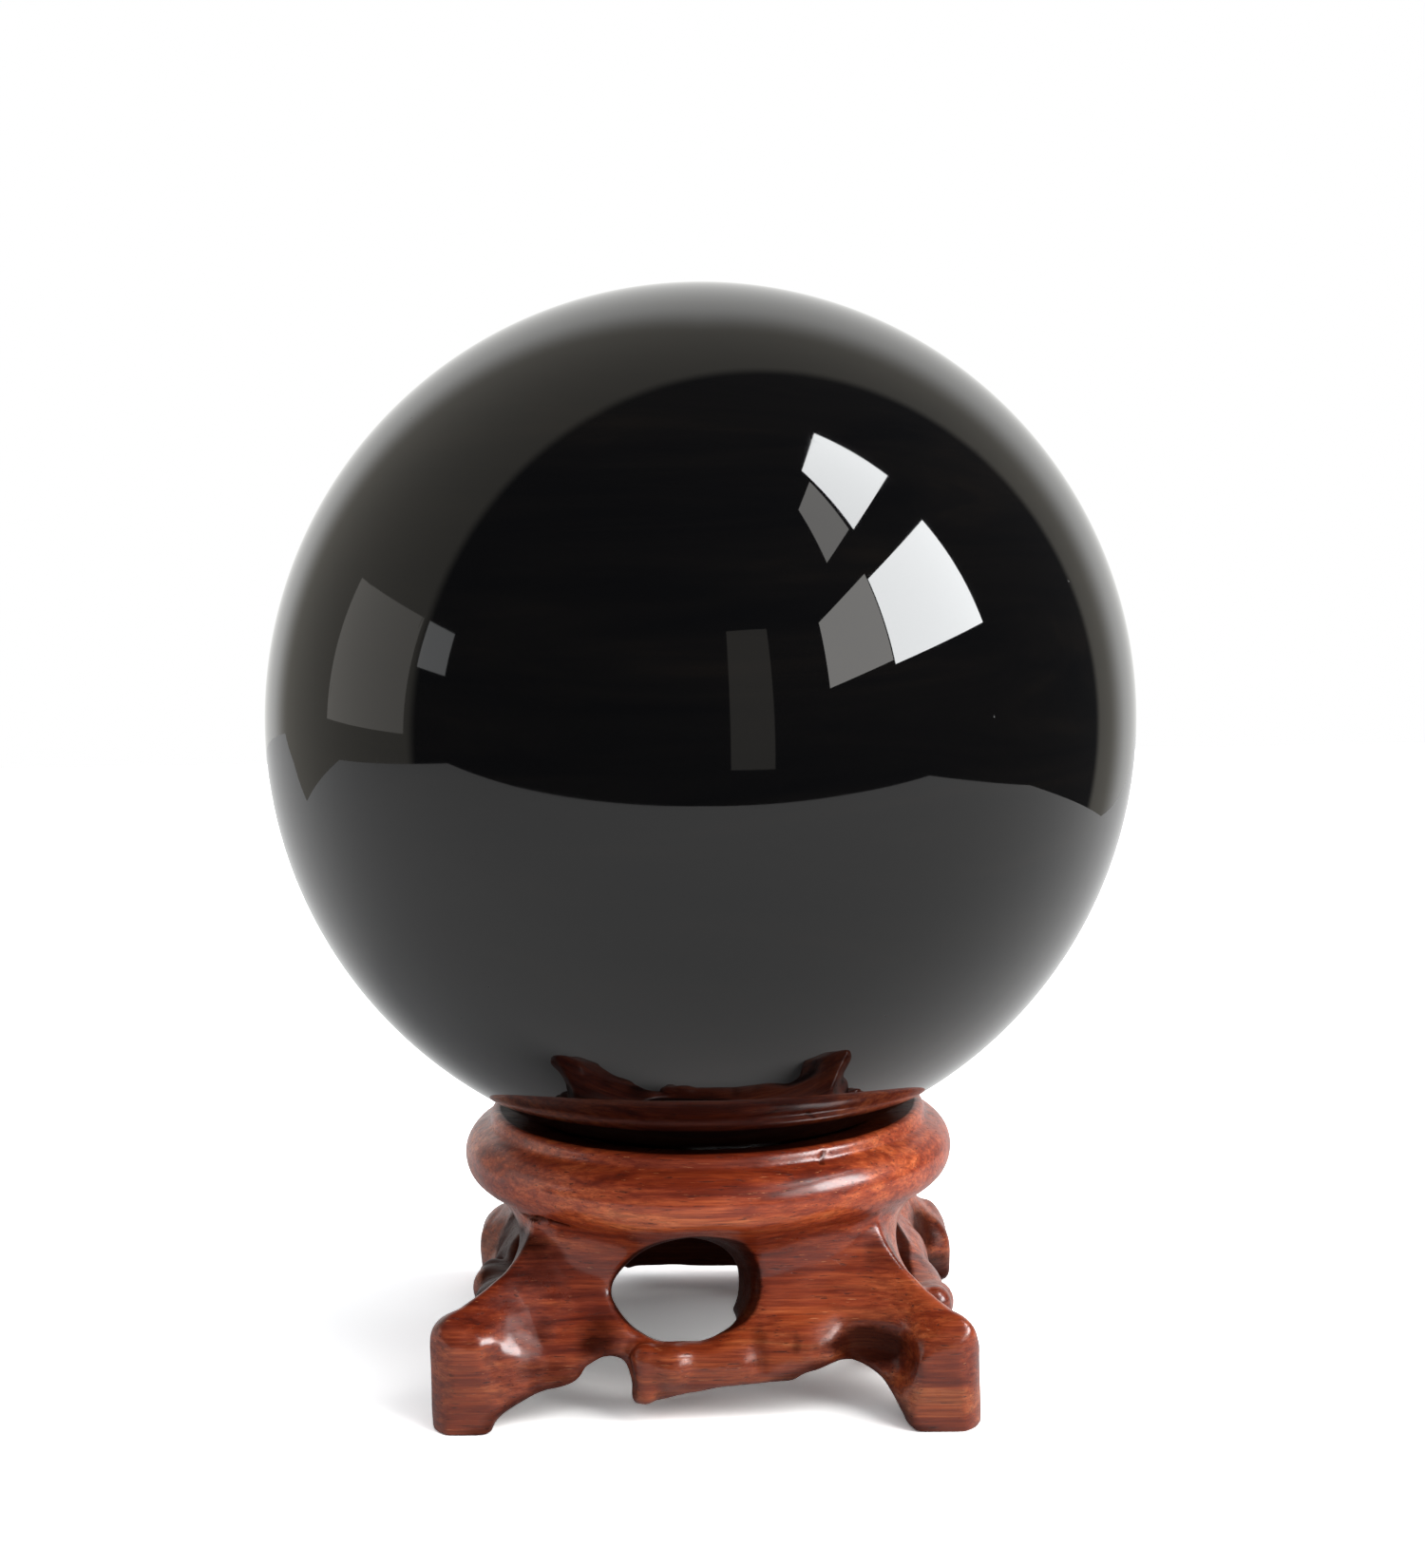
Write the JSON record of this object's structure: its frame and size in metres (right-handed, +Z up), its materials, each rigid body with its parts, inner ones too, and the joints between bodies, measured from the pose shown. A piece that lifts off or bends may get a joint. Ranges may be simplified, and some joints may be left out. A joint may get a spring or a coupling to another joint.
{
  "type": "crystal ball",
  "caption": "Polished black ball resting loose on a low carved wooden stand with a turned ring, a hollow square block, oval windows and corner feet.",
  "frame": {"origin": "on the surface that the stand rests on, straight under the centre of the ball", "axes": "+Z up, -Y towards the front of the stand, +X to the right"},
  "size_m": [0.1, 0.1, 0.1246],
  "materials": {
    "ball": "opaque black obsidian glass, ground to a sphere and polished to a mirror finish",
    "stand": "reddish-brown rosewood, hand carved and turned, with a satin lacquer"
  },
  "bodies": {
    "stand": {"stand": "stand"},
    "ball": {"ball": "ball"}
  },
  "joints": [
    {"name": "ball_lift", "type": "slide", "parent": "stand", "child": "ball", "axis": [0, 0, 1], "range_m": [0, 0.06]}
  ]
}
